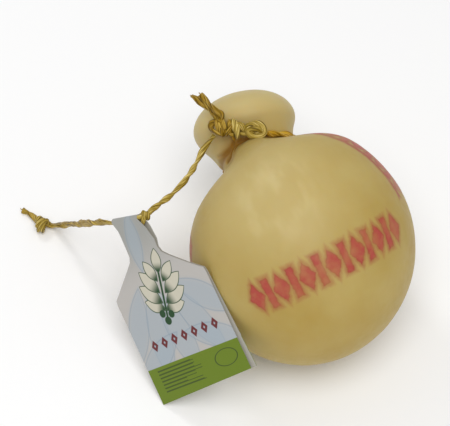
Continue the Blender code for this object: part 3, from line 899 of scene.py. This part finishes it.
def tag_rows():
    """The card's middle surface up the front and down the back: rows of (left, right, leaf)."""
    rows = []
    for lower, upper in zip(FRONT_OUTLINE, FRONT_OUTLINE[1:]):
        steps = max(3, round((upper[0][1] - lower[0][1]) / 2.5))
        for step in range(steps):
            ends = []
            for a, b in zip(lower, upper):
                flat = np.array(a) * (1 - step / steps) + np.array(b) * step / steps
                ends.append(np.array((*flat, 0.0)))
            rows.append((*ends, 1.0))
    front = list(rows)
    across = (LOOP_ENDS[1] - LOOP_ENDS[0]) / np.linalg.norm(LOOP_ENDS[1] - LOOP_ENDS[0])
    rise = np.array((-across[1], across[0], 0))
    for step in range(17):
        angle = math.pi * step / 16
        bend = (rise * math.sin(angle) + np.array((0, 0, math.cos(angle)))) * LOOP_RADIUS
        rows.append((LOOP_ENDS[0] + bend, LOOP_ENDS[1] + bend, 1.0 if step < 9 else 2.0))
    for left, right, _ in reversed(front):
        share = min(max((left[1] - 86) / 12, 0.0), 1.0)
        drop = min(max((left[1] - 84) / 22, 0.0), 1.0)
        across = BACK_SHIFT * (1 - 0.95 * min(left[1] / 60, 1.0)) + STRAP_SHIFT * share
        shift = np.array((across, 0, -BACK_DEPTH - STRAP_DEPTH * drop**1.5))
        rows.append((left + shift, right + shift, 2.0))
    return rows


tag_grid, tag_card = [], []
for left, right, leaf in tag_rows():
    for column in range(TAG_COLUMNS + 1):
        place = left * (1 - column / TAG_COLUMNS) + right * column / TAG_COLUMNS
        tag_grid.append(place)
        tag_card.append((place[0], place[1], leaf))
tag_grid = np.array(tag_grid).reshape(-1, TAG_COLUMNS + 1, 3)
climb = np.gradient(tag_grid, axis=0)
facing = np.cross(np.gradient(tag_grid, axis=1), climb)
facing /= np.linalg.norm(facing, axis=2)[..., None]
skins = [tag_grid + facing * side * CARD_THICKNESS / 2 for side in (1, -1)]
verts = np.concatenate([skin.reshape(-1, 3) for skin in skins])
one_skin = len(verts) // 2
numbers = np.arange(one_skin).reshape(tag_grid.shape[:2])
faces = []
for lower, upper in zip(numbers, numbers[1:]):
    for quad in zip(lower, lower[1:], upper[1:], upper):
        faces.append(quad)
        faces.append(tuple(one_skin + index for index in reversed(quad)))
rim = [*numbers[0, :-1], *numbers[:-1, -1], *numbers[-1, :0:-1], *numbers[:0:-1, 0]]
for a, b in zip(rim, rim[1:] + rim[:1]):
    faces.append((b, a, a + one_skin, b + one_skin))
faces = [tuple(int(index) for index in face) for face in faces]
verts = (verts / 1000) @ np.array(TAG_TURN.to_matrix()).T + np.array(TAG_CORNER)

TAG_GROUND = "B9B5B0"
STRAP_SHADE_GREY = "A0A09B"
TAG_BLUE = "9FACB6"
TAG_LINE = "8696A4"
TAG_INSIDE = "A5A196"
BAND_GREEN = "667C0C"
RULE_GREEN = "3B4D10"
SPRIG_GREEN = "1C4420"
SPRIG_CREAM = "C9C4B2"
ROW_RED = "682426"

# What is printed where, in millimetres from the card's lower left corner, and for the
# sprig's leaves and berries from the sprig's foot.
PALE_LEAVES = (                         # middle, angle, length and width
    ((8, 46), 58, 50, 15), ((21, 36), 78, 54, 16), ((37, 34), 96, 56, 17),
    ((54, 38), 116, 54, 16), ((66, 48), 140, 46, 15), ((14, 26), 24, 46, 14),
    ((62, 25), 158, 46, 14), ((34, 92), 78, 36, 10),
)
LEAF_LINE = 0.35                        # half the width of the line round each
SPRIG_PLACE, SPRIG_TURN = (34.6, 49.0, 0), math.radians(72)
STEM_HALF_WIDTH, STEM_MIDDLE, STEM_HALF_LENGTH = 0.75, 10.0, 14.0
SPRIG_LEAVES = (
    ((2.6, 7.6), 72, 15.0, 7.2), ((9.2, 9.2), 58, 18.0, 8.0), ((16.4, 8.6), 47, 17.5, 7.6),
    ((23.0, 6.2), 36, 14.0, 6.4), ((29.2, 0.0), 0, 14.0, 6.6),
)
BERRIES = (((-2.2, 3.4, 0), 2.3), ((-6.2, 0.0, 0), 2.5))
ROW_PLACE, ROW_TURN = (39.2, 32.0, 0), math.radians(-2.2)
ROW_STEP, ROW_HALF_LENGTH = 8.4, 28.6
ROW_SLANT, ROW_LOZENGE, ROW_LINE = 0.76, 1.725, 1.025
BAND_TOP, BAND_SLANT = 21.5, 0.0372
RULE_STEP, RULE_HALF_WIDTH, RULE_SLANT = 2.1, 0.42, 0.03
RULES_START, SHORTEST_END, END_SPREAD = 7.0, 27.0, 16.0
RULES_MIDDLE, RULES_HALF_HEIGHT = 12.2, 7.3
RING_PLACE, RING_RADII = (61.7, 11.2, 0), (8.8, 4.8, 1)
RING_LINE = 0.05                        # half its line's width, as a share of its radii
# how softly, and from what height, the painted shade greys the card towards the strap
STRAP_SHADE_SPREAD, STRAP_SHADE_HEIGHT = 32.0, 82.0

# Coated card, offset printed in a few flat inks: crisp edges under a low, even sheen.
card, tree, shader = new_material("coated printed card")
place = add_node(tree, "Attribute", attribute_name="card").outputs["Vector"]
across_card, up_card, leaf = add_node(tree, "SeparateXYZ", [place]).outputs
front_side = add_node(tree, "Math", [leaf, 1.0, 0.1], operation="COMPARE")
outside = add_node(tree, "Math", [leaf, 0.5], operation="GREATER_THAN")


def blade_measure(source, centre, angle, length, width):
    """How far outside a drawn pointed leaf a place lies, in mm, and its place along it."""
    local = add_node(
        tree, "Mapping",
        [source, (*centre, 0), (0, 0, math.radians(angle)), (length / 2, width / 2, 1)],
        vector_type="TEXTURE",
    )
    along, beside, _ = add_node(tree, "SeparateXYZ", [local]).outputs
    bow = add_node(tree, "Math", [along, along], operation="MULTIPLY")
    reach = add_node(tree, "Math", [beside], operation="ABSOLUTE")
    measure = add_node(tree, "Math", [bow, reach], operation="ADD")
    measure = add_node(tree, "Math", [measure, 1.0], operation="SUBTRACT")
    return add_node(tree, "Math", [measure, width / 2], operation="MULTIPLY"), along


# Each print is a measure that is below 0 inside its shape, how softly it ends in the
# same measure, its strength and its ink.  They are laid over the ground in this order.
# painted shade: the card greys towards its strap, where it bends back over the twine; this
# first layer is no ink
strap = add_node(tree, "Math", [STRAP_SHADE_HEIGHT, up_card], operation="SUBTRACT")
prints = [(strap, STRAP_SHADE_SPREAD, 1.0, STRAP_SHADE_GREY)]

# large pale leaves behind everything
for leaf_shape in PALE_LEAVES:
    measure, _ = blade_measure(place, *leaf_shape)
    edge = outside_strip(tree, measure, 0.0, LEAF_LINE)
    prints += [(measure, 5.0, 0.62, TAG_BLUE), (edge, 0.6, 0.55, TAG_LINE)]

# the sprig: a stem, mirrored pairs of leaves, a leading leaf and berries at its foot
sprig = add_node(
    tree, "Mapping", [place, SPRIG_PLACE, (0, 0, SPRIG_TURN)], vector_type="TEXTURE",
)
up_sprig, beside, _ = add_node(tree, "SeparateXYZ", [sprig]).outputs
beside = add_node(tree, "Math", [beside], operation="ABSOLUTE")
mirrored = add_node(tree, "CombineXYZ", [up_sprig, beside])
stem = outside_strip(tree, beside, 0.0, STEM_HALF_WIDTH)
stem_end = outside_strip(tree, up_sprig, STEM_MIDDLE, STEM_HALF_LENGTH)
stem = add_node(tree, "Math", [stem, stem_end], operation="MAXIMUM")
prints.append((stem, 0.4, front_side, SPRIG_GREEN))
for leaf_shape in SPRIG_LEAVES:
    measure, along = blade_measure(mirrored, *leaf_shape)
    outline = add_node(tree, "Math", [measure, 0.55], operation="SUBTRACT")
    within = add_node(tree, "MapRange", [measure, 0.2, -0.2], interpolation_type="SMOOTHSTEP")
    within = add_node(tree, "Math", [within, front_side], operation="MULTIPLY")
    foot = add_node(tree, "Math", [along, 0.45], operation="ADD")
    prints += [
        (outline, 0.4, front_side, SPRIG_GREEN), (measure, 0.4, front_side, SPRIG_CREAM),
        (foot, 0.8, within, SPRIG_GREEN),
    ]
for centre, radius in BERRIES:
    berry = add_node(tree, "VectorMath", [mirrored, centre], operation="DISTANCE")
    berry = add_node(tree, "Math", [berry, radius], operation="SUBTRACT")
    prints.append((berry, 0.4, front_side, SPRIG_GREEN))

# the row of hollow lozenges, cut off at both ends between two of them
row = add_node(
    tree, "Mapping", [place, ROW_PLACE, (0, 0, ROW_TURN)], vector_type="TEXTURE",
)
along_row, beside, _ = add_node(tree, "SeparateXYZ", [row]).outputs
from_middle = add_node(tree, "Math", [along_row, ROW_STEP / 2], operation="PINGPONG")
beside = add_node(tree, "Math", [beside], operation="ABSOLUTE")
slanted = add_node(tree, "Math", [beside, ROW_SLANT, from_middle], operation="MULTIPLY_ADD")
lozenge = outside_strip(tree, slanted, ROW_LOZENGE, ROW_LINE)
row_end = outside_strip(tree, along_row, 0.0, ROW_HALF_LENGTH)
lozenge = add_node(tree, "Math", [lozenge, row_end], operation="MAXIMUM")
prints.append((lozenge, 0.5, front_side, ROW_RED))

# the green band, on the back leaf too
band = add_node(tree, "Math", [across_card, BAND_SLANT, up_card], operation="MULTIPLY_ADD")
band = add_node(tree, "Math", [band, BAND_TOP], operation="SUBTRACT")
prints.append((band, 0.3, outside, BAND_GREEN))

# its plain rules, of uneven length, and its ring
height = add_node(tree, "Math", [across_card, RULE_SLANT, up_card], operation="MULTIPLY_ADD")
rule = add_node(tree, "Math", [height, RULE_STEP / 2], operation="PINGPONG")
rule = add_node(tree, "Math", [rule, RULE_HALF_WIDTH], operation="SUBTRACT")
rule_number = add_node(tree, "Math", [height, RULE_STEP], operation="DIVIDE")
rule_number = add_node(tree, "Math", [rule_number], operation="FLOOR")
chance = add_node(tree, "TexWhiteNoise", [rule_number], noise_dimensions="1D")
rule_end = add_node(tree, "Math", [chance, END_SPREAD, SHORTEST_END], operation="MULTIPLY_ADD")
past_end = add_node(tree, "Math", [across_card, rule_end], operation="SUBTRACT")
before_start = add_node(tree, "Math", [RULES_START, across_card], operation="SUBTRACT")
off_block = outside_strip(tree, height, RULES_MIDDLE, RULES_HALF_HEIGHT)
for limit in (past_end, before_start, off_block):
    rule = add_node(tree, "Math", [rule, limit], operation="MAXIMUM")
prints.append((rule, 0.4, front_side, RULE_GREEN))
ring = add_node(
    tree, "Mapping", [place, RING_PLACE, (0, 0, 0), RING_RADII], vector_type="TEXTURE",
)
ring = add_node(tree, "VectorMath", [ring, (1, 1, 0)], operation="MULTIPLY")
ring = add_node(tree, "VectorMath", [ring], operation="LENGTH")
ring = outside_strip(tree, ring, 1.0, RING_LINE)
prints.append((ring, 0.05, front_side, RULE_GREEN))

# the card's inside is bare, and its darker grey-beige is partly painted shade for the shaded
# inside of the fold
bare = add_node(tree, "Math", [leaf, 0.5], operation="SUBTRACT")
prints.append((bare, 0.01, 1.0, TAG_INSIDE))

colour = linear(TAG_GROUND)
for measure, softness, strength, ink in prints:
    shown = [measure, softness / 2, -softness / 2]
    shown = add_node(tree, "MapRange", shown, interpolation_type="SMOOTHSTEP")
    shown = add_node(tree, "Math", [shown, strength], operation="MULTIPLY")
    colour = add_node(tree, "Mix", [shown, colour, linear(ink)], data_type="RGBA")
tree.links.new(colour.outputs[2], shader.inputs["Base Color"])
shader.inputs["Roughness"].default_value = 0.45
shader.inputs["Specular IOR Level"].default_value = 0.35

tag = add_mesh("folded_card_tag", verts, faces, card, smooth=False)
store(tag, "card", tag_card + [(x, y, 0.0) for x, y, _ in tag_card])
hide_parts("tag")
